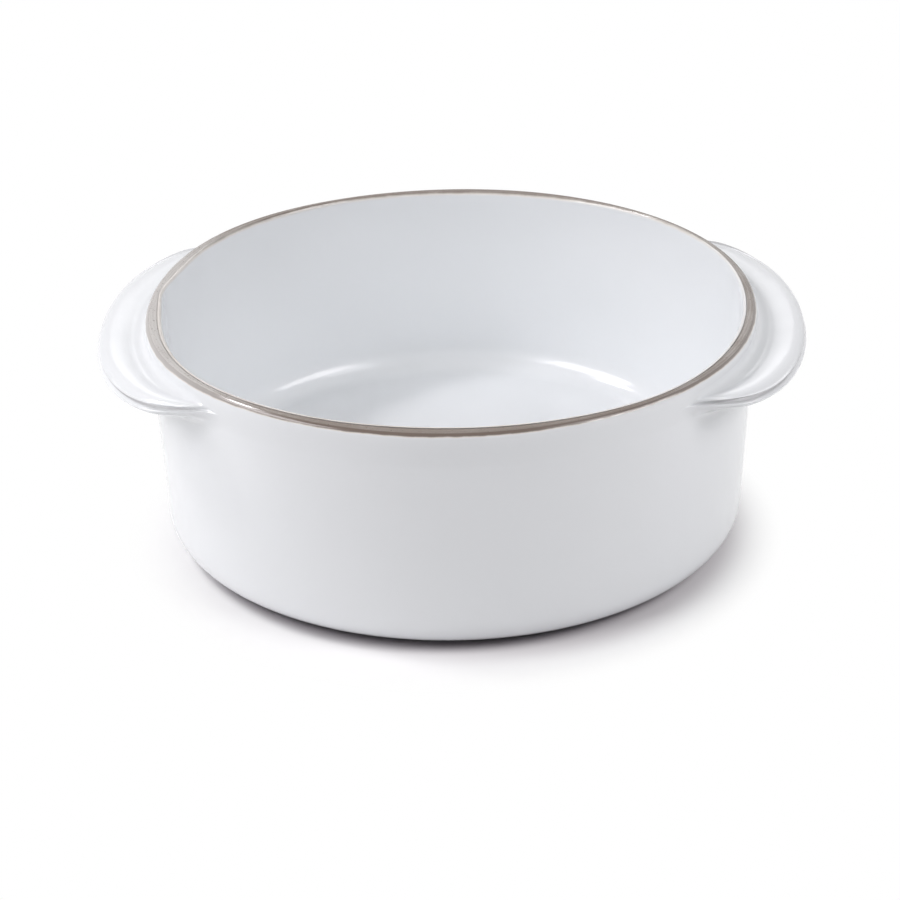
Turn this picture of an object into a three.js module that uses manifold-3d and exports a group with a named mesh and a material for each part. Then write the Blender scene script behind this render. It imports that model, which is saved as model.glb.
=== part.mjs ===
// Round stoneware casserole dish with two ledge handles.
// A clay pot with a bare rim and a bare foot ring, two clay handles luted to its wall, and a coat of
// white glaze inside and outside. Millimetres, +Z up, origin on the table under the dish's middle.
import * as THREE from 'three';
import { mergeVertices } from 'three/addons/utils/BufferGeometryUtils.js';
import Module from 'manifold-3d';

const wasm = await Module();
wasm.setup();

// Rim and wall
const DISH_HEIGHT = 93;
const RIM_RADIUS = 120;
const RIM_WIDTH = 5.4; // bare top of the rim, from its outer to its inner edge
const RIM_EDGE = 1.2; // rounding of the rim's two edges
const RIM_BAND = 3.5; // height of bare clay on the outside of the rim
const RIM_FLARE = 1.5; // how far the rim stands out from the line of the wall
const WALL_DRAFT = 4.9; // how much smaller the wall's radius is at its foot
const WALL_THICKNESS = 6; // clay at the foot of the wall

// Floor and foot
const CORNER_RADIUS = 9.7; // outside corner between the wall and the underside
const CORNER_LEVEL = 2; // height of that corner's lowest ring above the table
const FLOOR_THICKNESS = 10.5;
const FLOOR_FILLET = 12.5; // inside corner between the floor and the wall
const FOOT_INSET = 4; // from the corner's lowest ring in to the foot ring
const FOOT_WIDTH = 9;
const UNDERSIDE_RECESS = 3;

// Handles, measured on the clay: out from the wall, up or down from the middle of the outer edge
const HANDLE_DROP = 12; // from the top of the rim down to the middle of the outer edge
const HANDLE_LENGTH = 181; // along the wall, from end to end
const HANDLE_REACH = 20.4;
const HANDLE_THICKNESS = 5.6;
const CREST_PLACE = 11; // the raised band along the top, out from the wall
const CREST_RISE = 0.9;
const VALLEY_PLACE = 4.2; // the thumb hollow between that band and the wall
const VALLEY_DEPTH = 1.1;
const ROOT_RISE = 3.5; // how far its root spreads up the wall, above the handle's own top
const ROOT_FALL = 6.5; // how far its root spreads down the wall, below the handle's own underside
const ROOT_DEPTH = 3; // how far its section runs on into the wall before it is cut
const END_RISE = 4.5; // its two ends sweep up towards the rim
const END_SLIM = 0.55; // share of its height that is lost at the ends
const END_SINK = 1; // the faded ends lie this deep in the wall before they are cut
const REACH_FADE = 6; // powers of the curve by which its reach fades: how late, and how softly
const REACH_SOFTNESS = 1.8;
const RISE_POWER = 6; // how late the ends start to rise and to slim
const SLIM_POWER = 4;

// Glaze and joints
const COAT_THICKNESS = 0.5;
const COAT_GAP = 0.3; // between clay and glaze
const LUTE_GAP = 0.3; // between a handle and the wall
const LIP_DROP = 0.3; // from the rim's rounded inner edge down to the inner coat
const CUT_OVERRUN = 1; // how far a cutting solid runs past the edge that it cuts

// Fineness of the facets
const TURN_STEPS = 60;
const ARC_STEPS = 5;
const STEPS_PER_KEY = 2; // facets between two key points of a handle's section
const HANDLE_STATIONS = 20;
const MERGE_DISTANCE = 1e-4;

// Sizes that follow from the ones above
const wallTopRadius = RIM_RADIUS - RIM_FLARE;
const wallFootRadius = wallTopRadius - WALL_DRAFT;
const wallRun = DISH_HEIGHT - CORNER_LEVEL;
const outerTaper = Math.atan2(wallTopRadius - wallFootRadius, wallRun);
const innerTopRadius = RIM_RADIUS - RIM_WIDTH;
const innerFootRadius = wallFootRadius - WALL_THICKNESS;
const innerTaper = Math.atan2(innerTopRadius - innerFootRadius, wallRun);
const bareLevel = DISH_HEIGHT - RIM_BAND;
const floorTop = UNDERSIDE_RECESS + FLOOR_THICKNESS;
const cornerCentreZ = CORNER_LEVEL + CORNER_RADIUS;
const cornerCentreRadius = outerRadius(cornerCentreZ) - CORNER_RADIUS / Math.cos(outerTaper);
const footOuterRadius = cornerCentreRadius - FOOT_INSET;
const footInnerRadius = footOuterRadius - FOOT_WIDTH;
const handleHeight = DISH_HEIGHT - HANDLE_DROP;
const handleHalfAngle = HANDLE_LENGTH / (2 * outerRadius(handleHeight));

// Radius of the clay wall's outside and inside at a height
function outerRadius(z) {
  return wallFootRadius + (z - CORNER_LEVEL) * Math.tan(outerTaper);
}

function innerRadius(z) {
  return innerFootRadius + (z - CORNER_LEVEL) * Math.tan(innerTaper);
}

// Outlines, drawn as radius and height

function point(radius, z) {
  return new THREE.Vector2(radius, z);
}

function arc(radius, z, bend, fromAngle, toAngle) {
  const clockwise = toAngle < fromAngle;
  return new THREE.EllipseCurve(radius, z, bend, bend, fromAngle, toAngle, clockwise).getPoints(ARC_STEPS);
}

// The outside of the pot, from under the corner up the wall, moved out by a coat
function outerSkin(grow, topZ) {
  return [
    ...arc(cornerCentreRadius, cornerCentreZ, CORNER_RADIUS + grow, -Math.PI / 2, -outerTaper),
    point(outerRadius(topZ) + grow / Math.cos(outerTaper), topZ),
  ];
}

// The inside of the pot, from below the rim down the wall to the floor, moved in by a coat
function innerSkin(grow, topZ) {
  const centreZ = floorTop + FLOOR_FILLET;
  const centreRadius = innerRadius(centreZ) - FLOOR_FILLET / Math.cos(innerTaper);
  return [
    point(innerRadius(topZ) - grow / Math.cos(innerTaper), topZ),
    ...arc(centreRadius, centreZ, FLOOR_FILLET - grow, -innerTaper, -Math.PI / 2),
    point(0, floorTop + grow),
  ];
}

function rimSkin() {
  const edgeZ = DISH_HEIGHT - RIM_EDGE;
  return [
    ...arc(RIM_RADIUS - RIM_EDGE, edgeZ, RIM_EDGE, 0, Math.PI / 2),
    ...arc(innerTopRadius + RIM_EDGE, edgeZ, RIM_EDGE, Math.PI / 2, Math.PI),
  ];
}

// Solids

function solidFrom(geometry) {
  geometry.deleteAttribute('normal');
  geometry.deleteAttribute('uv');
  const merged = mergeVertices(geometry, MERGE_DISTANCE);
  const corners = merged.index.array;
  const triangles = [];
  for (let i = 0; i < corners.length; i += 3) {
    const [a, b, c] = corners.slice(i, i + 3);
    if (a !== b && b !== c && c !== a) {
      triangles.push(a, b, c);
    }
  }
  return new wasm.Manifold(new wasm.Mesh({
    numProp: 3,
    vertProperties: new Float32Array(merged.attributes.position.array),
    triVerts: new Uint32Array(triangles),
  }));
}

// A closed outline turned round the dish's axis
function turned(outline) {
  return solidFrom(new THREE.LatheGeometry(outline, TURN_STEPS).rotateX(Math.PI / 2));
}

// The pot as a full block, moved out by a coat
function potBlock(grow, topZ) {
  return turned([point(0, CORNER_LEVEL - grow), ...outerSkin(grow, topZ), point(0, topZ)]);
}

function footBlock(grow) {
  const radius = footOuterRadius + grow;
  return turned([point(0, 0), point(radius, 0), point(radius, cornerCentreZ), point(0, cornerCentreZ)]);
}

// A handle's section at its middle: out from the wall and up from the outer edge
function handleSection() {
  const half = HANDLE_THICKNESS / 2;
  const rootTop = half + ROOT_RISE;
  const rootFoot = half + ROOT_FALL;
  const keys = [
    [-ROOT_DEPTH, -rootFoot],
    [0, -rootFoot],
    [VALLEY_PLACE, -half - VALLEY_DEPTH],
    [HANDLE_REACH - half, -half],
    [HANDLE_REACH, 0],
    [HANDLE_REACH - half, half],
    [CREST_PLACE, half + CREST_RISE],
    [VALLEY_PLACE, half - VALLEY_DEPTH + CREST_RISE],
    [0, rootTop],
    [-ROOT_DEPTH, rootTop],
  ];
  const curve = new THREE.CatmullRomCurve3(keys.map(([out, up]) => new THREE.Vector3(out, up, 0)), true);
  return curve.getPoints(keys.length * STEPS_PER_KEY).slice(0, -1);
}

// The direction straight out of a section's outline at each of its points
function sectionNormals(section) {
  return section.map((_, i) => {
    const before = section[(i + section.length - 1) % section.length];
    const after = section[(i + 1) % section.length];
    return new THREE.Vector2(after.y - before.y, before.x - after.x).normalize();
  });
}

// A handle along the +X side, moved out by a coat: its section fades, slims and rises towards its ends
function handleGeometry(grow) {
  const section = handleSection();
  const normals = sectionNormals(section);
  const positions = [];
  const triangles = [];
  for (let station = 0; station <= HANDLE_STATIONS; station++) {
    const along = 2 * station / HANDLE_STATIONS - 1;
    const far = Math.abs(along);
    const fade = (1 - far ** REACH_FADE) ** REACH_SOFTNESS;
    const slim = 1 - END_SLIM * far ** SLIM_POWER;
    const rise = END_RISE * far ** RISE_POWER;
    const angle = along * handleHalfAngle;
    section.forEach((key, i) => {
      const reach = key.x > 0 ? key.x * fade : key.x;
      const out = reach - END_SINK * (1 - fade) + grow * normals[i].x;
      const z = handleHeight + rise + key.y * slim + grow * normals[i].y;
      const radius = outerRadius(z) + out;
      positions.push(radius * Math.cos(angle), radius * Math.sin(angle), z);
    });
  }
  const ring = section.length;
  for (let station = 0; station < HANDLE_STATIONS; station++) {
    for (let i = 0; i < ring; i++) {
      const a = station * ring + i;
      const b = station * ring + (i + 1) % ring;
      triangles.push(a, a + ring, b, b, a + ring, b + ring);
    }
  }
  const lastRing = HANDLE_STATIONS * ring;
  for (const [a, b, c] of THREE.ShapeUtils.triangulateShape(section, [])) {
    triangles.push(a, b, c);
    triangles.push(lastRing + a, lastRing + c, lastRing + b);
  }
  const geometry = new THREE.BufferGeometry();
  geometry.setAttribute('position', new THREE.Float32BufferAttribute(positions, 3));
  geometry.setIndex(triangles);
  return geometry;
}

// The pieces

function clayPot() {
  return turned([
    point(0, UNDERSIDE_RECESS),
    point(footInnerRadius, UNDERSIDE_RECESS),
    point(footInnerRadius, 0),
    point(footOuterRadius, 0),
    point(footOuterRadius, CORNER_LEVEL),
    ...outerSkin(0, bareLevel),
    ...rimSkin(),
    ...innerSkin(0, DISH_HEIGHT - RIM_EDGE).slice(1),
  ]);
}

function innerGlaze() {
  const topZ = DISH_HEIGHT - RIM_EDGE - LIP_DROP;
  return turned([
    ...innerSkin(COAT_GAP, topZ).reverse(),
    ...innerSkin(COAT_GAP + COAT_THICKNESS, topZ),
  ]);
}

// The pot and both handles as one block, moved out by a coat
function dishBlock(grow, topZ) {
  const handle = handleGeometry(grow);
  return potBlock(grow, topZ)
    .add(solidFrom(handle.clone()))
    .add(solidFrom(handle.clone().rotateZ(Math.PI)));
}

function outerGlaze() {
  const topZ = bareLevel - COAT_GAP;
  return dishBlock(COAT_GAP + COAT_THICKNESS, topZ)
    .subtract(dishBlock(COAT_GAP, topZ + CUT_OVERRUN))
    .subtract(footBlock(COAT_GAP));
}

function handle() {
  return solidFrom(handleGeometry(0)).subtract(potBlock(LUTE_GAP, DISH_HEIGHT));
}

function mesh(name, solid, material) {
  const { vertProperties, triVerts, numProp } = solid.getMesh();
  const geometry = new THREE.BufferGeometry();
  geometry.setAttribute('position', new THREE.BufferAttribute(vertProperties, numProp));
  geometry.setIndex(new THREE.BufferAttribute(triVerts, 1));
  geometry.computeVertexNormals();
  const piece = new THREE.Mesh(geometry, material);
  piece.name = name;
  return piece;
}

function bareStoneware() {
  return new THREE.MeshStandardMaterial({ color: 0x9c9187, roughness: 0.75, metalness: 0 });
}

function whiteGlaze() {
  return new THREE.MeshStandardMaterial({ color: 0xf0f2f3, roughness: 0.12, metalness: 0 });
}

const dish = new THREE.Group();
const rightHandle = mesh('right_handle', handle(), bareStoneware());
const leftHandle = mesh('left_handle', handle(), bareStoneware());
leftHandle.rotation.z = Math.PI;
dish.add(
  mesh('clay_pot', clayPot(), bareStoneware()),
  leftHandle,
  rightHandle,
  mesh('inner_glaze', innerGlaze(), whiteGlaze()),
  mesh('outer_glaze', outerGlaze(), whiteGlaze()),
);

export default dish;
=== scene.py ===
# %% [markdown]
# # A stoneware casserole dish, from clay to glaze
# The dish is thrown and turned from stoneware clay. Two ledge handles are luted to its wall, and it
# is dipped in white glaze inside and outside. Only the rim and the foot ring are wiped bare.
# This lesson models those five pieces one after the other, each over the solid that the frame holds
# for it, and then gives them their finishes, a table, soft light and a camera.
#
# The frame comes first. It holds the solids in metres, standing on the table at height zero with the
# handles along X, and nothing in it is moved. Its box is kept, to compare with the box at the end.

# %% Load the frame
import math

import bpy
import numpy as np
from mathutils import Matrix, Vector


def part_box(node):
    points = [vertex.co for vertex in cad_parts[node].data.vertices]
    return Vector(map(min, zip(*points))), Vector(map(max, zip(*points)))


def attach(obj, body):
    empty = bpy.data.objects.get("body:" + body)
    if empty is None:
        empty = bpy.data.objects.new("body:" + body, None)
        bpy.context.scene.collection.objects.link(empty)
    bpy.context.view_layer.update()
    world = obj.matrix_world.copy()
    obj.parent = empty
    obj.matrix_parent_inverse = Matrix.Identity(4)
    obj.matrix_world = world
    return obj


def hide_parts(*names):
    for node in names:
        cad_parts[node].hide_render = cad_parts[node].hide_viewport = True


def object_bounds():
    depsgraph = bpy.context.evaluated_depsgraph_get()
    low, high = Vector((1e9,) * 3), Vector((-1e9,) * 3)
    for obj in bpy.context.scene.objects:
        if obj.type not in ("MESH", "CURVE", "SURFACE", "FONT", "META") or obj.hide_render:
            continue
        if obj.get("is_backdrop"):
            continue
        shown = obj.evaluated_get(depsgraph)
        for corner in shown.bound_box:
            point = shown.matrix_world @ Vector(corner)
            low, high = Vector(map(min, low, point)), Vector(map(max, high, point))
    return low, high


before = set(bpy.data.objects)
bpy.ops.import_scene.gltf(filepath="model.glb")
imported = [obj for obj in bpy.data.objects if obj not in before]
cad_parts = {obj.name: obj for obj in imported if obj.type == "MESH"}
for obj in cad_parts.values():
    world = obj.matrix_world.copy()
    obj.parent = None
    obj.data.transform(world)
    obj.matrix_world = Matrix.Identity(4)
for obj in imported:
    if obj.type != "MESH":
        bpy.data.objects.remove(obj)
cad_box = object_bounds()

# %% [markdown]
# ## Sizes
# The rim's radius and height and the level of the floor are read from the frame's solids, so the fine
# pieces sit exactly where the solids are. The other sizes are the dish's own, in millimetres.
# The wall leans out by a few millimetres from foot to rim, on the outside and on the inside, so two
# small functions give its radius at any height.

# %% Sizes and the wall
MM = 0.001

pot_low, pot_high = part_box("clay_pot")
RIM_RADIUS = (pot_high.x - pot_low.x) / 2
RIM_TOP = pot_high.z
COAT_GAP = 0.3 * MM
COAT_THICKNESS = 0.5 * MM
COAT = COAT_GAP + COAT_THICKNESS
FLOOR_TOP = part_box("inner_glaze")[0].z - COAT_GAP

RIM_FLARE = 1.5 * MM  # how far the rim stands out from the line of the wall
RIM_WIDTH = 5.4 * MM
WALL_DRAFT = 4.9 * MM  # how much smaller the wall's radius is at its foot
WALL_THICKNESS = 6.0 * MM
WALL_TOP_RADIUS = RIM_RADIUS - RIM_FLARE
WALL_FOOT_RADIUS = WALL_TOP_RADIUS - WALL_DRAFT
INNER_TOP_RADIUS = RIM_RADIUS - RIM_WIDTH
INNER_FOOT_RADIUS = WALL_FOOT_RADIUS - WALL_THICKNESS
CORNER_LEVEL = 2.0 * MM
CORNER_BEND = 9.7 * MM
FLOOR_FILLET = 12.5 * MM
FOOT_INSET = 4.0 * MM
FOOT_WIDTH = 9.0 * MM
UNDERSIDE = 3.0 * MM


def wall_outside(height):
    share = (height - CORNER_LEVEL) / (RIM_TOP - CORNER_LEVEL)
    return WALL_FOOT_RADIUS + share * (WALL_TOP_RADIUS - WALL_FOOT_RADIUS)


def wall_inside(height):
    share = (height - CORNER_LEVEL) / (RIM_TOP - CORNER_LEVEL)
    return INNER_FOOT_RADIUS + share * (INNER_TOP_RADIUS - INNER_FOOT_RADIUS)


def ease(share):
    """A soft step from 0 to 1."""
    share = np.clip(share, 0.0, 1.0)
    return share * share * (3 - 2 * share)


def in_mm(length, digits=1):
    return round(float(length) / MM, digits)


print("rim radius", in_mm(RIM_RADIUS), "height", in_mm(RIM_TOP), "floor", in_mm(FLOOR_TOP), "mm")

# %% [markdown]
# ## Outlines
# Every round piece starts as half of its section: a line of points in radius and height. A potter's
# profile rib is the same thing. Bends are arcs worked out from a centre and a radius, and straight
# stretches get a few rows, because the hand-made wobble that comes later needs points to move.
# Near the rim the wall flares a little, and there the coat thins out to nothing over the clay.

# %% Arcs, straight stretches and the flare of the rim
OUTER_BEND = 2.4 * MM
INNER_BEND = 1.6 * MM
FLARE_FROM = 78.0 * MM
RIM_EDGE = RIM_TOP - OUTER_BEND
LIP_LEVEL = RIM_TOP - INNER_BEND
SKIN = 0.04 * MM  # how far the bare clay lies under the feather edge of the coat

TAPER = math.degrees(math.atan2(WALL_TOP_RADIUS - WALL_FOOT_RADIUS, RIM_TOP - CORNER_LEVEL))
INNER_TAPER = math.degrees(math.atan2(INNER_TOP_RADIUS - INNER_FOOT_RADIUS, RIM_TOP - CORNER_LEVEL))
CORNER_HEIGHT = CORNER_LEVEL + CORNER_BEND
CORNER_RADIUS = wall_outside(CORNER_HEIGHT) - CORNER_BEND / math.cos(math.radians(TAPER))
FOOT_OUTER = CORNER_RADIUS - FOOT_INSET
FOOT_INNER = FOOT_OUTER - FOOT_WIDTH
FILLET_HEIGHT = FLOOR_TOP + FLOOR_FILLET
FILLET_RADIUS = wall_inside(FILLET_HEIGHT) - FLOOR_FILLET / math.cos(math.radians(INNER_TAPER))


def arc(radius, height, bend, start, stop, steps):
    turns = np.radians(np.linspace(start, stop, steps + 1))
    return [(radius + bend * math.cos(a), height + bend * math.sin(a)) for a in turns]


def rows(face, start, stop, steps):
    """Points on a face that is given as a radius for every height."""
    return [(face(z), z) for z in np.linspace(start, stop, steps + 1)]


def flare(height):
    """0 on the wall and 1 at the rim's outer edge."""
    return ease((height - FLARE_FROM) / (RIM_EDGE - FLARE_FROM))


def coat_face(height):
    """Outside of the glaze: the wall, then a flare that reaches the rim's outer edge."""
    plain = wall_outside(height) + COAT
    return plain + (RIM_RADIUS - plain) * flare(height)


def clay_face(height):
    """Outside of the clay: under the coat, and only a skin under it at the rim."""
    return coat_face(height) - COAT * (1 - flare(height)) - SKIN


print("foot ring", in_mm(FOOT_INNER), "to", in_mm(FOOT_OUTER), "fillet from", in_mm(FILLET_RADIUS), "mm")

# %% [markdown]
# ## The wheel
# A plane is added and merged to one point, and the point is extruded along the outline as with the E
# key. Then the line has to go round the Z axis, as on a potter's wheel. Spin in edit mode does that too,
# but with this many steps the Screw modifier is much quicker, and it merges the seam and the pole. The
# sweep can leave a shape inside out, so the normals are recalculated, and turned inwards for a hollow.

# %% Draw an outline and sweep it round
TURN_STEPS = 360
MERGE = 0.002 * MM


def only(piece):
    """Selects one piece and makes it the active one."""
    bpy.ops.object.select_all(action="DESELECT")
    piece.select_set(True)
    bpy.context.view_layer.objects.active = piece


def finish_with(piece, kind, **settings):
    """Adds a modifier and applies it."""
    only(piece)
    modifier = piece.modifiers.new(kind.title(), kind)
    for name, value in settings.items():
        setattr(modifier, name, value)
    bpy.ops.object.modifier_apply(modifier=modifier.name)


def draw_outline(name, points):
    bpy.ops.object.select_all(action="DESELECT")
    bpy.ops.mesh.primitive_plane_add(size=MM)
    piece = bpy.context.object
    piece.name = name
    piece.data.name = name
    bpy.ops.object.mode_set(mode="EDIT")
    bpy.ops.mesh.merge(type="CENTER")
    pen = Vector((points[0][0], 0, points[0][1]))
    bpy.ops.transform.translate(value=pen)
    for radius, height in points[1:]:
        there = Vector((radius, 0, height))
        bpy.ops.mesh.extrude_vertices_move(TRANSFORM_OT_translate={"value": there - pen})
        pen = there
    bpy.ops.object.mode_set(mode="OBJECT")
    return piece


def tidy_mesh(piece, hollow=False):
    """Merges doubled points and turns all faces the same way."""
    only(piece)
    bpy.ops.object.mode_set(mode="EDIT")
    bpy.ops.mesh.select_all(action="SELECT")
    bpy.ops.mesh.remove_doubles(threshold=MERGE)
    bpy.ops.mesh.normals_make_consistent(inside=hollow)
    bpy.ops.object.mode_set(mode="OBJECT")
    print(piece.name, "has", len(piece.data.polygons), "faces")


def sweep_round(piece, steps=TURN_STEPS, angle=math.tau, hollow=False):
    finish_with(
        piece, "SCREW", axis="Z", angle=angle, steps=steps, render_steps=steps,
        use_merge_vertices=True, merge_threshold=MERGE,
    )
    tidy_mesh(piece, hollow)


def smooth(piece, angle=35):
    only(piece)
    bpy.ops.object.shade_smooth_by_angle(angle=math.radians(angle))

# %% [markdown]
# ## The potter's hand
# A wheel gives a true circle, and this rim isn't one: seen from above it is a little square, its bare
# band is wider on the left, and it stands a trace higher there. Proportional editing could push it
# about, but a rule is easier to repeat: every point moves out or in by a few slow waves round the rim,
# fully at the top and not at all lower down. The clay and both coats follow the same rule, so they
# stay together.

# %% Waves of the rim
# count round the rim, size in millimetres, place in degrees
OUTER_WAVES = ((4, 0.62, 168), (5, 0.23, -60), (6, 0.24, 138))
INNER_WAVES = ((1, 0.2, 0), (4, 1.35, 162), (7, 0.12, 40), (11, 0.08, 200))
INNER_EASE = 0.8 * MM  # the opening is this much wider than the plain solid's
# place and width in degrees, size in millimetres
DENTS = ((159, 8.0, -0.75), (173.5, 5.5, 1.25), (187, 12.0, -0.45))
RIM_TILT = 0.32 * MM
WAVE_FROM = 55 * MM


def waves(angle, parts):
    return sum(size * MM * np.cos(count * angle - math.radians(place)) for count, size, place in parts)


def turn_from(angle, middle):
    """How far an angle lies from a direction, at most half a turn either way."""
    return np.angle(np.exp(1j * (angle - middle)))


def dents(angle):
    total = 0.0
    for place, width, size in DENTS:
        away = np.degrees(turn_from(angle, math.radians(place)))
        total = total + size * MM * np.exp(-((away / width) ** 2))
    return total


def thrown(radius, angle, height):
    share = np.clip((radius - wall_inside(height)) / (wall_outside(height) - wall_inside(height)), 0, 1)
    lift = ease((height - WAVE_FROM) / (RIM_EDGE - WAVE_FROM))
    inner = INNER_EASE + waves(angle, INNER_WAVES) + dents(angle)
    outer = waves(angle, OUTER_WAVES)
    moved = radius + lift * (inner + share * (outer - inner))
    return moved, height - lift * RIM_TILT * np.cos(angle)


def points_of(piece):
    flat = np.empty(len(piece.data.vertices) * 3)
    piece.data.vertices.foreach_get("co", flat)
    return flat.reshape(-1, 3)


def reshape(piece, rule):
    """Moves every point of a piece by a rule of radius, angle and height."""
    place = points_of(piece)
    angle = np.arctan2(place[:, 1], place[:, 0])
    radius, height = rule(np.hypot(place[:, 0], place[:, 1]), angle, place[:, 2].copy())
    moved = np.stack([radius * np.cos(angle), radius * np.sin(angle), height], axis=1)
    piece.data.vertices.foreach_set("co", moved.ravel())
    piece.data.update()
    print(piece.name, "moved by up to", in_mm(np.linalg.norm(moved - place, axis=1).max(), 2), "mm")

# %% [markdown]
# ## The clay pot
# The pot is one body of clay: a foot ring with a recess inside it, a rounded corner, the wall, the rim
# with its two soft edges, and the inside down to the floor. The whole section is drawn as one outline
# from the axis to the axis and spun. A Bevel modifier softens the turned edges of the foot ring.

# %% Spin the pot
CORNER_STEPS = 10
WALL_STEPS = 14
RIM_STEPS = 8
FOOT_SOFTNESS = 0.5 * MM
FOOT_EDGE = math.radians(60)  # edges that turn by more than this are softened

pot_outline = [
    (0.0, UNDERSIDE),
    (FOOT_INNER, UNDERSIDE),
    (FOOT_INNER, 0.0),
    (FOOT_OUTER, 0.0),
    (FOOT_OUTER, CORNER_LEVEL),
    *arc(CORNER_RADIUS, CORNER_HEIGHT, CORNER_BEND, -90, -TAPER, CORNER_STEPS),
    *rows(clay_face, CORNER_HEIGHT + MM, FLARE_FROM, WALL_STEPS),
    *rows(clay_face, FLARE_FROM, RIM_EDGE, RIM_STEPS)[1:],
    *arc(RIM_RADIUS - OUTER_BEND, RIM_EDGE, OUTER_BEND - SKIN, 0, 90, RIM_STEPS)[1:],
    *arc(INNER_TOP_RADIUS + INNER_BEND, LIP_LEVEL, INNER_BEND - SKIN, 90, 180, RIM_STEPS),
    *rows(wall_inside, LIP_LEVEL - MM, FILLET_HEIGHT + MM, WALL_STEPS),
    *arc(FILLET_RADIUS, FILLET_HEIGHT, FLOOR_FILLET, -INNER_TAPER, -90, CORNER_STEPS),
    (0.0, FLOOR_TOP),
]
clay_pot = draw_outline("stoneware_pot", pot_outline)
sweep_round(clay_pot)
finish_with(
    clay_pot, "BEVEL", width=FOOT_SOFTNESS, segments=3, limit_method="ANGLE", angle_limit=FOOT_EDGE,
)
reshape(clay_pot, thrown)
smooth(clay_pot)

# %% [markdown]
# ## The form of a handle
# A handle is a ledge that runs a quarter of the way round the wall. Its section starts high on the wall,
# dips to a thumb hollow, swells to a crest and rolls down to a crisp ridge. Under the ridge a flank bulges
# out to the handle's outline, and the underside comes back to the wall in a wide fillet. In the middle
# the ridge lies just over the outline, and on both sides of it a shallow groove runs along the crest.
# Towards the ends the ridge draws back and rises, so the flank widens, and at last all of it melts into
# the wall below the rim.
#
# Such a form could be sculpted, or extruded from the wall and smoothed. Here a few key points of the
# section are worked out for every angle, and a smooth curve is laid through them. Each key has its place
# at the middle of the handle and its height on the plain wall where the handle ends. The keys up to the
# ridge fade with the ridge, and the keys after it fade with the outline.

# %% Keys of the handle's section
HANDLE_HALF = math.radians(44.5)  # all these angles are measured from the handle's middle
RIDGE_HALF = math.radians(42.5)
FLANK_FROM = math.radians(17)  # from here on the flank rises
RIDGE_FROM = math.radians(24.6)  # from here on the ridge rises
GROOVE_FROM = math.radians(12)
GROOVE = 0.9 * MM
MELT_FROM = math.radians(34)  # from here on the outline melts into the wall
MELT_SHARE = 0.75
RIDGE_FADE = (6.9, 1.9)  # powers of a fade: how late it starts and how softly it ends
OUTLINE_FADE = (6.6, 1.34)
RIDGE_SWEEP = 1.87  # powers of the rise towards the ends
FLANK_SWEEP = 1.08
HANDLE_TURNS = {"right": math.radians(-0.9), "left": math.radians(179.1)}
KEY_STEPS = 4

# out from the wall, height at the handle's middle, height where the handle ends, share of the groove
RIDGE_KEYS = (
    (0.0, 88.6, 88.6, 0.0),
    (0.7, 86.7, 88.2, 0.0),
    (2.2, 85.4, 87.8, 0.0),
    (4.6, 84.9, 87.4, 0.0),
    (6.4, 84.9, 87.1, 0.0),
    (8.4, 85.2, 86.8, 0.0),
    (11.0, 85.5, 86.5, 0.1),
    (14.4, 85.6, 86.2, 0.4),
    (16.4, 85.3, 85.9, 0.8),
    (17.8, 84.8, 85.6, 1.0),
    (18.7, 84.3, 85.3, 0.4),
    (19.1, 83.8, 85.0, 0.0),
)
FLANK_KEYS = (
    (18.9, 83.3, 84.6, 0.0),
    (19.5, 82.3, 84.2, 0.0),
    (20.2, 81.3, 83.8, 0.0),
    (19.5, 80.1, 82.9, 0.0),
    (17.4, 79.5, 82.0, 0.0),
    (13.0, 79.0, 81.0, 0.0),
    (8.5, 78.2, 79.9, 0.0),
    (4.5, 76.8, 78.8, 0.0),
    (1.4, 73.3, 77.6, 0.0),
    (0.0, 70.6, 76.2, 0.0),
)
HANDLE_KEYS = np.array(RIDGE_KEYS + FLANK_KEYS)
RIDGE_ROW = KEY_STEPS * len(RIDGE_KEYS) - KEY_STEPS // 2
ON_FLANK = (np.arange(len(HANDLE_KEYS)) >= len(RIDGE_KEYS))[:, None]


def curve_through(keys):
    """A Catmull-Rom curve along the first axis."""
    before = np.concatenate([keys[:1], keys[:-2]])
    start, stop = keys[:-1], keys[1:]
    after = np.concatenate([keys[2:], keys[-1:]])
    points = []
    for t in np.arange(KEY_STEPS) / KEY_STEPS:
        bend = 2 * before - 5 * start + 4 * stop - after
        twist = 3 * start - before - 3 * stop + after
        points.append(start + 0.5 * t * (stop - before + t * (bend + t * twist)))
    mixed = np.stack(points, axis=1).reshape(-1, *keys.shape[1:])
    return np.concatenate([mixed, keys[-1:]])


def between(value, start, stop):
    return np.clip((value - start) / (stop - start), 0, 1)


def fade(turn, half, late, soft):
    """1 at the handle's middle and 0 from its half angle on."""
    return np.clip(1 - (turn / half) ** late, 0, 1) ** soft


def handle_section(turn):
    """Out from the wall and height of every row of the section, for angles from the handle's middle."""
    turn = np.minimum(np.abs(turn), HANDLE_HALF)
    out, middle, end, groove = (column[:, None] for column in HANDLE_KEYS.T)
    melted = 1 - MELT_SHARE * ease(between(turn, MELT_FROM, HANDLE_HALF))
    outline_fade = fade(turn, HANDLE_HALF, *OUTLINE_FADE) * melted
    ridge_fade = fade(turn, RIDGE_HALF, *RIDGE_FADE)
    ridge_sweep = between(turn, RIDGE_FROM, RIDGE_HALF) ** RIDGE_SWEEP
    flank_sweep = between(turn, FLANK_FROM, HANDLE_HALF) ** FLANK_SWEEP
    grooved = np.sin(math.pi * between(turn, GROOVE_FROM, RIDGE_HALF)) ** 2
    reach = out * MM * np.where(ON_FLANK, outline_fade, ridge_fade)
    height = (middle + (end - middle) * np.where(ON_FLANK, flank_sweep, ridge_sweep)) * MM
    return curve_through(reach), curve_through(height - GROOVE * groove * grooved)


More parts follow.
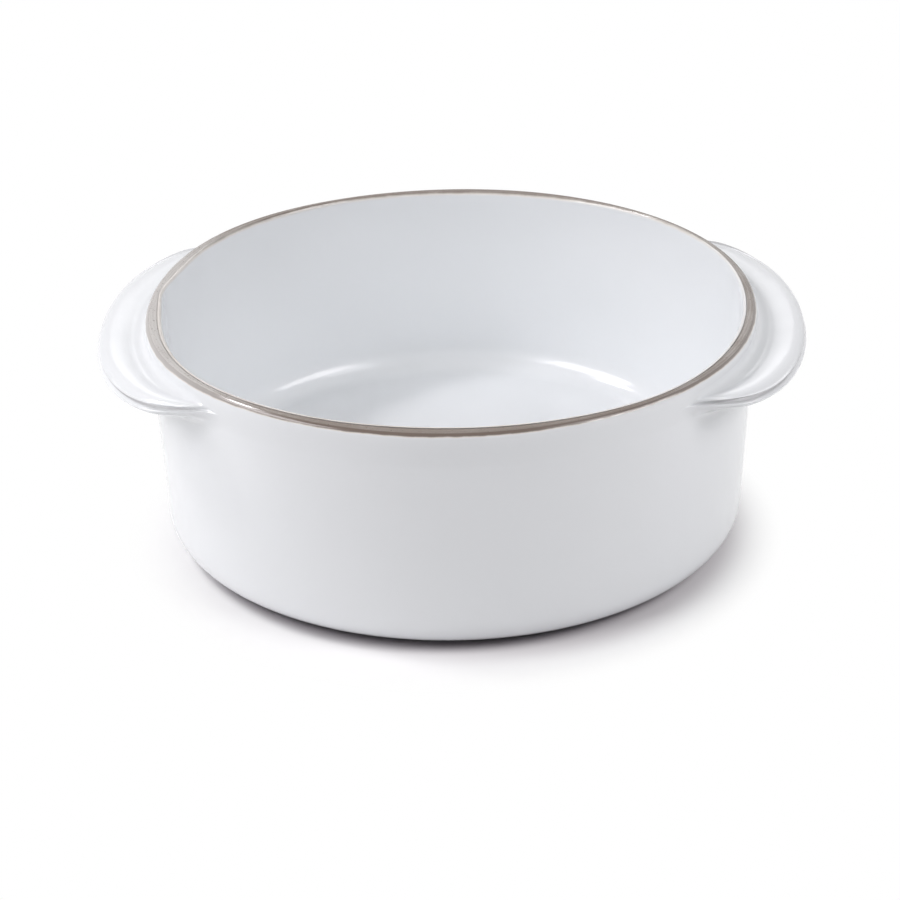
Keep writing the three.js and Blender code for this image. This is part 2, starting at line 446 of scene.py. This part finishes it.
plain_heights = curve_through(HANDLE_KEYS[:, 2]) * MM
middle_out, middle_height = (column[:, 0] for column in handle_section(np.zeros(1)))
print("handle reaches", in_mm(coat_face(middle_height[0]) + middle_out.max()), "mm from the axis")

# %% [markdown]
# ## The clay handles
# Under the glaze each handle is a solid clay ledge, luted to the wall. Its section is drawn at one end,
# closed along the wall, spun through the handle's angle and capped at both ends. Then every point moves
# to its own angle's section, a coat's thickness under the glaze.

# %% Spin the two clay handles
CLAY_SHARE = 0.74  # the clay stops short of the ends of its coat
CLAY_SLIM = 0.62  # share of the coat's height that the clay fills
CLAY_INSET = 2.0 * MM  # how far the clay lies behind the coat's outer edge
CLAY_STEPS = 72
CLAY_HALF = HANDLE_HALF * CLAY_SHARE


def clay_handle(name):
    root = [(wall_outside(z) + COAT_GAP, z) for z in (middle_height[0], middle_height[-1])]
    face = [(coat_face(z) + out, z) for out, z in zip(middle_out[::-1], middle_height[::-1])]
    piece = draw_outline(name, [root[0], root[1], *face[1:-1], root[0]])
    sweep_round(piece, CLAY_STEPS, 2 * CLAY_HALF)
    bpy.ops.object.mode_set(mode="EDIT")
    bpy.ops.mesh.select_all(action="DESELECT")
    bpy.ops.mesh.select_non_manifold()
    bpy.ops.mesh.edge_face_add()
    bpy.ops.object.mode_set(mode="OBJECT")
    tidy_mesh(piece)
    return piece


def settle(radius, angle, height):
    """Rule that moves every point of a clay handle under the coat."""
    out = radius - coat_face(height)
    gaps = (out[:, None] - middle_out) ** 2 + (height[:, None] - middle_height) ** 2
    reach, up = handle_section(angle - CLAY_HALF)
    pick = gaps.argmin(axis=1), np.arange(len(height))
    centre = (up[0] + up[-1]) / 2
    level = centre + (up[pick] - centre) * CLAY_SLIM
    face = coat_face(level) + np.maximum(reach[pick] - CLAY_INSET, COAT_GAP - COAT)
    return face, level


handles = {}
for side, middle in HANDLE_TURNS.items():
    piece = clay_handle(side + "_clay_handle")
    reshape(piece, settle)
    piece.data.transform(Matrix.Rotation(middle - CLAY_HALF, 4, "Z"))
    smooth(piece)
    handles[side] = piece

# %% [markdown]
# ## The outer coat
# The glaze outside is one skin over the wall and both handles. It is spun plain first, with close rows
# where the handles will be, and then the handles are drawn out of it: a row keeps its number, and each
# of its points moves to where the section at its angle puts it. Before that, every point is told how
# close it lies to a ridge, where the finish paints grey: partly glaze that ran thin there, partly painted
# shade on the handles' outer roll. Solidify gives the skin its thickness, inwards, so that the face stays
# where it is.

# %% Sweep the outer coat and draw out the handles
COAT_EDGE = 62  # degrees up the rim's outer bend at which the coat ends
GIVE_FROM = 45 * MM  # the wall's rows give way to the handles down to this height
# rows that the mark of run-off and painted shade on a ridge spreads over, its share at the back and its
# share in the middle; the right handle's outer roll gets the wider and darker painted shade
RIDGE_MARKS = {"right": (4.2, 0.7, 0.7), "left": (2.6, 0.4, 0.8)}
MARK_FULL = (FLANK_FROM + HANDLE_HALF) / 2
MARK_ENDS = 0.88 * RIDGE_HALF
MARK_GONE = 1.02 * RIDGE_HALF
MARK_BEHIND = 20 * MM  # the mark, with its painted shade, gets weaker from here in front of the middle to as far behind it


def rows_of_handles(height):
    """The section's nearest row for every point, and whether the point lies on a handle's rows."""
    row = np.abs(height[:, None] - plain_heights[None, :]).argmin(axis=1)
    on_handle = (height < plain_heights[0] + MERGE) & (height > plain_heights[-1] - MERGE)
    return row, on_handle


def draw_handles(radius, angle, height):
    row, on_handle = rows_of_handles(height)
    root = plain_heights[-1]
    under = (height > GIVE_FROM) & (height <= root - MERGE)
    for middle in HANDLE_TURNS.values():
        turn = turn_from(angle, middle)
        near = np.abs(turn) < HANDLE_HALF
        here = np.flatnonzero(on_handle & near)
        out, up = handle_section(turn[here])
        pick = row[here], np.arange(len(here))
        height[here] = up[pick]
        radius[here] = coat_face(up[pick]) + out[pick]
        below = np.flatnonzero(under & near)
        foot = handle_section(turn[below])[1][-1]
        share = (height[below] - GIVE_FROM) / (root - GIVE_FROM)
        height[below] = GIVE_FROM + share * (foot - GIVE_FROM)
        radius[below] = coat_face(height[below])
    return radius, height


def mark_ridge_runoff_and_shade(piece):
    """Keeps how close every point lies to a handle's ridge, for the grey of run-off and painted shade
    there, before the handles are drawn out.
    """
    place = points_of(piece)
    angle = np.arctan2(place[:, 1], place[:, 0])
    row, on_handle = rows_of_handles(place[:, 2])
    mark = np.zeros(len(place))
    for side, middle in HANDLE_TURNS.items():
        width, back_share, middle_share = RIDGE_MARKS[side]
        turn = np.abs(turn_from(angle, middle))
        close = np.exp(-(((row - RIDGE_ROW) / width) ** 2)) * on_handle
        along = middle_share + (1 - middle_share) * ease(between(turn, FLANK_FROM, MARK_FULL))
        ended = 1 - ease(between(turn, MARK_ENDS, MARK_GONE))
        front = back_share + (1 - back_share) * ease(between(-place[:, 1], -MARK_BEHIND, MARK_BEHIND))
        mark += close * along * ended * front * (turn < HANDLE_HALF)
    layer = piece.data.attributes.new("ridge", "FLOAT", "POINT")
    layer.data.foreach_set("value", mark)


coat_outline = [
    (FOOT_OUTER + COAT_GAP, CORNER_LEVEL - COAT),
    *arc(CORNER_RADIUS, CORNER_HEIGHT, CORNER_BEND + COAT, -90, -TAPER, CORNER_STEPS),
    *rows(coat_face, CORNER_HEIGHT + MM, plain_heights[-1], WALL_STEPS)[:-1],
    *[(coat_face(z), z) for z in plain_heights[::-1]],
    *rows(coat_face, plain_heights[0], RIM_EDGE, RIM_STEPS)[1:],
    *arc(RIM_RADIUS - OUTER_BEND, RIM_EDGE, OUTER_BEND, 0, COAT_EDGE, RIM_STEPS)[1:],
]
outer_glaze = draw_outline("outer_coat", coat_outline)
sweep_round(outer_glaze)
mark_ridge_runoff_and_shade(outer_glaze)
reshape(outer_glaze, draw_handles)
reshape(outer_glaze, thrown)
finish_with(outer_glaze, "SOLIDIFY", thickness=COAT_THICKNESS, offset=-1)
smooth(outer_glaze)

# %% [markdown]
# ## The inner coat
# The glaze inside starts as a small bead on the rim's inner edge, where it stopped running when the rim
# was wiped, and goes down the wall and round the fillet to the floor. Its face points into the hollow.

# %% Spin the inner coat
LIP_EDGE = 125  # degrees round the rim's inner bend at which the coat starts
LIP_ROUND = 20  # degrees over which its bead reaches its full thickness
LIP_BEAD = 0.35 * MM
HOLLOW_FROM = 45 * MM  # above this height the coat slowly thins to the bead's thickness


def hollow_face(height):
    """Inside of the glaze: over the wall, and slowly thinner up to the rim's inner edge."""
    share = ease((height - HOLLOW_FROM) / (LIP_LEVEL - HOLLOW_FROM))
    return wall_inside(height) - COAT - share * (LIP_BEAD - COAT)


def lip():
    points = []
    for degrees in np.linspace(LIP_EDGE, 180, 3 * RIM_STEPS):
        bead = LIP_BEAD * math.sqrt(min(1.0, (degrees - LIP_EDGE) / LIP_ROUND))
        points += arc(INNER_TOP_RADIUS + INNER_BEND, LIP_LEVEL, INNER_BEND + bead, degrees, degrees, 0)
    return points


hollow_outline = [
    *lip(),
    *rows(hollow_face, LIP_LEVEL, FILLET_HEIGHT, 2 * WALL_STEPS)[1:-1],
    *arc(FILLET_RADIUS, FILLET_HEIGHT, FLOOR_FILLET - COAT, -INNER_TAPER, -90, 2 * CORNER_STEPS),
    *[(FILLET_RADIUS * share, FLOOR_TOP + COAT) for share in (0.75, 0.5, 0.25, 0.0)],
]
inner_glaze = draw_outline("inner_coat", hollow_outline)
sweep_round(inner_glaze, hollow=True)
reshape(inner_glaze, thrown)
finish_with(inner_glaze, "SOLIDIFY", thickness=COAT_THICKNESS, offset=-1)
smooth(inner_glaze)

# %% [markdown]
# ## Shader maths
# A finish is a tree of shader nodes. Written out node by node it is long and hard to read, so a small
# class wraps an output socket and lets sums be written as sums: each one adds a Math node. Every other
# node comes from one method, which takes the node's type, its settings and its inputs.

# %% Wires and finishes
class Wire:
    def __init__(self, finish, socket):
        self.finish = finish
        self.socket = socket

    def maths(self, operation, first, second):
        return self.finish.node("ShaderNodeMath", {"operation": operation}, {0: first, 1: second})

    def __add__(self, other):
        return self.maths("ADD", self, other)

    def __sub__(self, other):
        return self.maths("SUBTRACT", self, other)

    def __rsub__(self, other):
        return self.maths("SUBTRACT", other, self)

    def __mul__(self, other):
        return self.maths("MULTIPLY", self, other)

    __radd__ = __add__
    __rmul__ = __mul__


class Finish:
    def __init__(self, tree):
        self.tree = tree
        tree.nodes.clear()

    def node(self, kind, settings=None, inputs=None, output=0):
        made = self.tree.nodes.new(kind)
        for name, value in (settings or {}).items():
            setattr(made, name, value)
        for name, value in (inputs or {}).items():
            if isinstance(value, Wire):
                self.tree.links.new(value.socket, made.inputs[name])
            else:
                made.inputs[name].default_value = value
        return Wire(self, made.outputs[output]) if made.outputs else None

    def noise(self, place, size, detail=2.0, rough=0.5):
        """A cloud of noise whose blots are about as wide as size, in metres."""
        settings = {"noise_dimensions": "3D"}
        inputs = {"Vector": place, "Scale": 1 / size, "Detail": detail, "Roughness": rough}
        return self.node("ShaderNodeTexNoise", settings, inputs)

    def ramp(self, value, start, stop):
        """0 below start, 1 above stop and a soft step between them."""
        settings = {"interpolation_type": "SMOOTHSTEP"}
        return self.node("ShaderNodeMapRange", settings, {0: value, 1: start, 2: stop, 3: 0.0, 4: 1.0})

    def mix(self, share, first, second):
        settings = {"data_type": "RGBA"}
        return self.node("ShaderNodeMix", settings, {0: share, 6: first, 7: second}, output=2)

    def bump(self, height, depth, under=None):
        """Relief of the given depth, in metres."""
        inputs = {"Strength": 1.0, "Distance": depth, "Height": height}
        if under:
            inputs["Normal"] = under
        return self.node("ShaderNodeBump", None, inputs)


def new_finish(name):
    material = bpy.data.materials.new(name)
    material.use_nodes = True
    return material, Finish(material.node_tree)

# %% [markdown]
# ## Bare stoneware
# Where it is wiped, the fired clay is a warm grey-brown with a fine sandy grain, darker specks and a
# trace of the rings that the turning tool left. It is matt, with a weak sheen at low angles. Object
# coordinates carry all of it, so the grain has its real size in metres. Its sides are painted paler,
# the left more, as a painted sheen of the side lamps.

# %% Make the stoneware
# the pale colour is reached by random tone and by the painted sheen at the sides
CLAY_DARK = (0.24, 0.205, 0.178, 1.0)
CLAY_PALE_AND_SHEEN = (0.56, 0.545, 0.525, 1.0)
CLAY_SPECK = (0.1, 0.075, 0.06, 1.0)
GRAIN_SIZE = 0.5 * MM
CLOUD_SIZE = 14 * MM
SPECK_SIZE = 0.9 * MM
SPECK_RANGE = (0.66, 0.76)  # noise over this becomes a speck
RING_SCALE = 260.0
TONE_RANGE = (0.3, 0.85)
CLAY_RELIEF = 0.12 * MM
SHEEN_LEFT = (60 * MM, 118 * MM)  # painted sheen of the side lamps: the clay is painted paler from here to there, out from the middle
SHEEN_RIGHT = (45 * MM, 118 * MM)
SHEEN_RIGHT_SHARE = 0.4
SHEEN_LEAN = 0.1  # the painted sheen on the left lies a little to the front


def painted_side_sheen(finish, place):
    """Painted sheen of the side lamps: 1 at the dish's left, less at its right and 0 at front and back."""
    across, behind = (finish.node("ShaderNodeSeparateXYZ", None, {0: place}, output=i) for i in range(2))
    left = finish.ramp(0.0 - across - SHEEN_LEAN * behind, *SHEEN_LEFT)
    right = finish.ramp(across, *SHEEN_RIGHT)
    return left + SHEEN_RIGHT_SHARE * right


def stoneware():
    material, finish = new_finish("bare_stoneware")
    place = finish.node("ShaderNodeTexCoord", output="Object")
    grain = finish.noise(place, GRAIN_SIZE, 3.0, 0.7)
    cloud = finish.noise(place, CLOUD_SIZE, 3.0)
    specks = finish.ramp(finish.noise(place, SPECK_SIZE, 1.0), *SPECK_RANGE)
    rings = finish.node(
        "ShaderNodeTexWave",
        {"wave_type": "RINGS", "rings_direction": "Z"},
        {"Vector": place, "Scale": RING_SCALE, "Distortion": 3.0, "Detail": 2.0, "Detail Scale": 1.5},
    )
    mottle = cloud * 0.3 + grain * 0.3 + rings * 0.1
    # random tone, plus a painted sheen of the side lamps that makes the sides paler
    tone = finish.ramp(mottle + painted_side_sheen(finish, place) * 0.45, *TONE_RANGE)
    colour = finish.mix(tone, CLAY_DARK, CLAY_PALE_AND_SHEEN)
    colour = finish.mix(specks * 0.7, colour, CLAY_SPECK)
    relief = finish.bump(grain * 0.7 + rings * 0.3, CLAY_RELIEF)
    shader = finish.node("ShaderNodeBsdfPrincipled", None, {
        "Base Color": colour,
        "Roughness": grain * 0.2 + 0.5,
        "IOR": 1.45,
        "Specular IOR Level": 0.35,
        "Normal": relief,
    })
    finish.node("ShaderNodeOutputMaterial", None, {"Surface": shader})
    return material

# %% [markdown]
# ## White glaze
# The glaze is a glossy, slightly cool white. It isn't perfectly even: it lies in very slow waves that
# bend the reflections, and its tone drifts by a shade. At the rim it thins out, and there the brown clay
# shows through it: dark at the edge, then cream, then white within a few millimetres. Inside, that brown
# edge comes lower at the back. At the sides the thin brown is painted paler, a painted sheen of the side
# lamps, as on the bare clay. The handles' ridges are painted grey: partly glaze that ran thin off them,
# partly painted shade on the handles' outer roll, stronger at the right handle and at the front.

# %% Make the glaze
GLAZE_WHITE = (0.825, 0.846, 0.862, 1.0)
GLAZE_COOL = (0.805, 0.828, 0.845, 1.0)
# grey of the ridges: glaze run thin, and painted shade on the handles' outer roll
GLAZE_RUNOFF_AND_SHADE = (0.32, 0.32, 0.33, 1.0)
GLAZE_THIN = (0.165, 0.126, 0.104, 1.0)
# painted sheen: the thin brown glaze at the sides
GLAZE_THIN_SHEEN = (0.46, 0.44, 0.42, 1.0)
GLAZE_CREAM = (0.78, 0.735, 0.68, 1.0)
DRIFT_SIZE = 60 * MM
SWELL_SIZE = 26 * MM
SWELL_DEPTH = 0.25 * MM
EDGE_SIZE = 7 * MM
EDGE_WOBBLE = 0.7 * MM
BEHIND = (20 * MM, 95 * MM)  # the brown edge comes lower from here to there, towards the back


def glaze(name, thin_from, thin_to, lower_behind):
    """A glaze that is brown down to thin_from below the rim's top and white from thin_to on."""
    material, finish = new_finish(name)
    place = finish.node("ShaderNodeTexCoord", output="Object")
    behind, height = (finish.node("ShaderNodeSeparateXYZ", None, {0: place}, output=i) for i in (1, 2))
    ridge = finish.node("ShaderNodeAttribute", {"attribute_name": "ridge"}, output="Fac")
    drift = finish.noise(place, DRIFT_SIZE, 2.0)
    swell = finish.noise(place, SWELL_SIZE, 1.0)
    edge = finish.noise(place, EDGE_SIZE, 3.0)
    depth = RIM_TOP - height + (edge - 0.5) * EDGE_WOBBLE
    depth = depth - finish.ramp(behind, *BEHIND) * lower_behind
    thick = finish.ramp(depth, thin_from, thin_to)
    body = finish.mix(drift, GLAZE_WHITE, GLAZE_COOL)
    # run-off and painted shade: the ridges are painted grey
    body = finish.mix(ridge, body, GLAZE_RUNOFF_AND_SHADE)
    # painted sheen: the thin brown glaze is painted paler at the sides
    brown = finish.mix(painted_side_sheen(finish, place), GLAZE_THIN, GLAZE_THIN_SHEEN)
    cover = finish.mix(finish.ramp(thick, 0.0, 0.6), brown, GLAZE_CREAM)
    colour = finish.mix(finish.ramp(thick, 0.3, 1.0), cover, body)
    shader = finish.node("ShaderNodeBsdfPrincipled", None, {
        "Base Color": colour,
        "Roughness": 0.11 + 0.03 * thick + 0.04 * edge,
        "IOR": 1.5,
        "Normal": finish.bump(swell, SWELL_DEPTH),
    })
    finish.node("ShaderNodeOutputMaterial", None, {"Surface": shader})
    return material

# %% [markdown]
# ## Dressing
# Each piece gets its finish, takes the place of its solid and rides on the one body that the dish has.
# The clay of the pot and of the handles is the same. The two coats differ in where they turn brown: the
# outer one close under the rim's top, and the inner one right at its bead.

# %% Dress the pieces
bare = stoneware()
outside = glaze("white_glaze_outside", 0.8 * MM, 2.0 * MM, 0.0)
inside = glaze("white_glaze_inside", -1.7 * MM, 1.1 * MM, 0.9 * MM)

dressed = (
    (clay_pot, "clay_pot", bare, "bare_stoneware"),
    (handles["left"], "left_handle", bare, "bare_stoneware"),
    (handles["right"], "right_handle", bare, "bare_stoneware"),
    (inner_glaze, "inner_glaze", inside, "white_glaze"),
    (outer_glaze, "outer_glaze", outside, "white_glaze"),
)
for piece, node, material, slot in dressed:
    piece.data.materials.clear()
    piece.data.materials.append(material)
    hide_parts(node)
    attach(piece, "root")
    print(piece.name, "for", node, "with", len(piece.data.polygons), "faces")

# %% [markdown]
# ## Table and backdrop
# The dish stands on a plain white table that runs on behind it. Near the dish the table is an ordinary
# surface that takes its shadow, and in two rings close to the foot, set off towards the front and right,
# a painted shadow darkens its colour and deepens the shadow where the dish touches it. Further out, and in
# the world behind, the rays that show the background see pure white, so the picture is clean without more
# light on the dish.

# %% Make the table
TABLE_SIZE = 8.0
SHADOW_CENTRE = Vector((0, -14, 0)) * MM
SHADOW_FROM = 103 * MM
SHADOW_TO = 131 * MM
# two rings of painted shadow on the table, off centre towards the front and right
DIM_CENTRE = Vector((10, -13, 0)) * MM
DIM_FROM = 96 * MM
DIM_TO = 114 * MM
CONTACT_CENTRE = Vector((-2, -9, 0)) * MM
CONTACT_FROM = 99 * MM
CONTACT_TO = 108 * MM
TABLE_WHITE = (0.9, 0.9, 0.9, 1.0)
TABLE_PAINTED_SHADOW = (0.7, 0.68, 0.69, 1.0)
TABLE_PAINTED_CONTACT_SHADOW = (0.36, 0.34, 0.36, 1.0)
PURE_WHITE = (1.0, 1.0, 1.0, 1.0)


def seen(finish):
    """1 for the rays that show the background: camera, glossy and transmission rays."""
    path = finish.node("ShaderNodeLightPath")
    sockets = path.socket.node.outputs
    camera, glossy, clear = (
        Wire(finish, sockets[name]) for name in ("Is Camera Ray", "Is Glossy Ray", "Is Transmission Ray")
    )
    return camera + glossy + clear


def away_from(finish, place, centre):
    """Distance on the table from a place on it."""
    offset = finish.node("ShaderNodeVectorMath", {"operation": "SUBTRACT"}, {0: place, 1: centre})
    return finish.node("ShaderNodeVectorMath", {"operation": "LENGTH"}, {0: offset}, output="Value")


def matt(finish, colour):
    return finish.node("ShaderNodeBsdfDiffuse", None, {"Color": colour})


def blend(finish, share, first, second):
    return finish.node("ShaderNodeMixShader", None, {0: share, 1: first, 2: second})


def table_finish():
    material, finish = new_finish("white_table")
    place = finish.node("ShaderNodeTexCoord", output="Object")
    dim = finish.ramp(away_from(finish, place, DIM_CENTRE), DIM_FROM, DIM_TO)
    contact = finish.ramp(away_from(finish, place, CONTACT_CENTRE), CONTACT_FROM, CONTACT_TO)
    far = finish.ramp(away_from(finish, place, SHADOW_CENTRE), SHADOW_FROM, SHADOW_TO)
    # painted shadow: the table's colour is darker in two rings near the foot
    paint = blend(finish, dim, matt(finish, TABLE_PAINTED_SHADOW), matt(finish, TABLE_WHITE))
    paint = blend(finish, contact, matt(finish, TABLE_PAINTED_CONTACT_SHADOW), paint)
    glow = finish.node("ShaderNodeEmission", None, {"Color": PURE_WHITE, "Strength": 1.0})
    shader = blend(finish, far * seen(finish), paint, glow)
    finish.node("ShaderNodeOutputMaterial", None, {"Surface": shader})
    return material


bpy.ops.object.select_all(action="DESELECT")
bpy.ops.mesh.primitive_plane_add(size=TABLE_SIZE)
table = bpy.context.object
table.name = "table"
table.data.materials.append(table_finish())
table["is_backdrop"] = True
print(table.name, "is", TABLE_SIZE, "m wide")

# %% [markdown]
# ## Light
# Soft boxes and larger, weaker panels stand at both sides, the left ones stronger. They leave the front a
# little darker than the sides and draw two bright arcs on the floor's fillet. A small lamp at the back
# left throws a crisper edge to the rim's shadow, a lamp at the right lightens that side, and one box
# behind and one overhead light the inside. Some are a trace warm and some a trace cool, as in a studio
# with mixed lamps. The world adds a little even light from all around.

# %% Hang the lights
WORLD_EVEN = 0.04
AIM = Vector((0, 0, 60 * MM))
WARM_TINT = (1.0, 0.972, 0.99)
COOL_TINT = (0.985, 0.987, 1.0)


def soft_box(name, turn, rise, distance, width, height, power, tint):
    """An area light that faces the dish: turn from +X, rise over the table, in degrees."""
    turn, rise = math.radians(turn), math.radians(rise)
    towards = Vector((math.cos(turn) * math.cos(rise), math.sin(turn) * math.cos(rise), math.sin(rise)))
    data = bpy.data.lights.new(name, "AREA")
    data.shape = "RECTANGLE"
    data.size = width
    data.size_y = height
    data.energy = power
    data.color = tint
    lamp = bpy.data.objects.new(name, data)
    lamp.location = AIM + towards * distance
    lamp.rotation_euler = towards.to_track_quat("Z", "Y").to_euler()
    bpy.context.scene.collection.objects.link(lamp)
    print(name, "at", [round(v, 2) for v in lamp.location])
    return lamp


# name, turn, rise, distance, width, height, power, tint
soft_box("back_lamp", 165, 49, 1.3, 0.16, 0.16, 3.8, WARM_TINT)
soft_box("left_soft_box", 198, 38, 1.3, 0.85, 0.5, 9.2, WARM_TINT)
soft_box("left_panel", 212, 25, 1.5, 1.1, 0.8, 2.8, COOL_TINT)
soft_box("right_lamp", -30, 48, 1.3, 0.5, 0.5, 2.5, COOL_TINT)
soft_box("right_soft_box", -20, 33, 1.3, 0.8, 0.4, 5.5, WARM_TINT)
soft_box("right_panel", -40, 28, 1.5, 1.0, 0.8, 1.8, WARM_TINT)
soft_box("back_soft_box", 90, 35, 1.4, 0.7, 0.5, 1.7, COOL_TINT)
soft_box("top_soft_box", 90, 62, 1.5, 1.8, 1.6, 1.4, COOL_TINT)

world = bpy.data.worlds.new("studio")
world.use_nodes = True
bpy.context.scene.world = world
finish = Finish(world.node_tree)
even = finish.node("ShaderNodeBackground", None, {"Color": PURE_WHITE, "Strength": WORLD_EVEN})
white = finish.node("ShaderNodeBackground", None, {"Color": PURE_WHITE, "Strength": 1.0})
shader = finish.node("ShaderNodeMixShader", None, {0: seen(finish), 1: even, 2: white})
finish.node("ShaderNodeOutputWorld", None, {"Surface": shader})

# %% [markdown]
# ## Camera
# The camera stands well back with a long lens and looks down on the dish at a low angle, so that the
# floor of the dish and both handles show. It leans by about one degree, as the picture does.

# %% Place the camera
CAMERA_DISTANCE = 1174.96 * MM
CAMERA_RISE = math.radians(26.511)
CAMERA_LEAN = math.radians(-1.2465)
CAMERA_AIM = Vector((-1.677 * MM, 0, 27.07 * MM))
CAMERA_LENS = 117.04
CAMERA_SENSOR = 36.0

camera_data = bpy.data.cameras.new("camera")
camera_data.sensor_width = CAMERA_SENSOR
camera_data.lens = CAMERA_LENS
camera = bpy.data.objects.new("camera", camera_data)
back = Vector((0, -math.cos(CAMERA_RISE), math.sin(CAMERA_RISE)))
stand = Matrix.Translation(CAMERA_AIM + back * CAMERA_DISTANCE)
look = back.to_track_quat("Z", "Y").to_matrix().to_4x4()
camera.matrix_world = stand @ look @ Matrix.Rotation(CAMERA_LEAN, 4, "Z")
bpy.context.scene.collection.objects.link(camera)
bpy.context.scene.camera = camera
bpy.context.scene.view_settings.view_transform = "Standard"
print("camera at", [round(v, 3) for v in camera.location])

# %% [markdown]
# ## The two boxes
# At the end the box of the fine pieces is set beside the box of the solids. They should agree to about a
# millimetre: the hand-made rim stands a trace higher on one side, and nothing else reaches past.

# %% Compare the boxes and close
visual_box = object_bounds()
for corner, fine in zip(cad_box, visual_box):
    print("solids", [in_mm(v) for v in corner], "fine pieces", [in_mm(v) for v in fine])
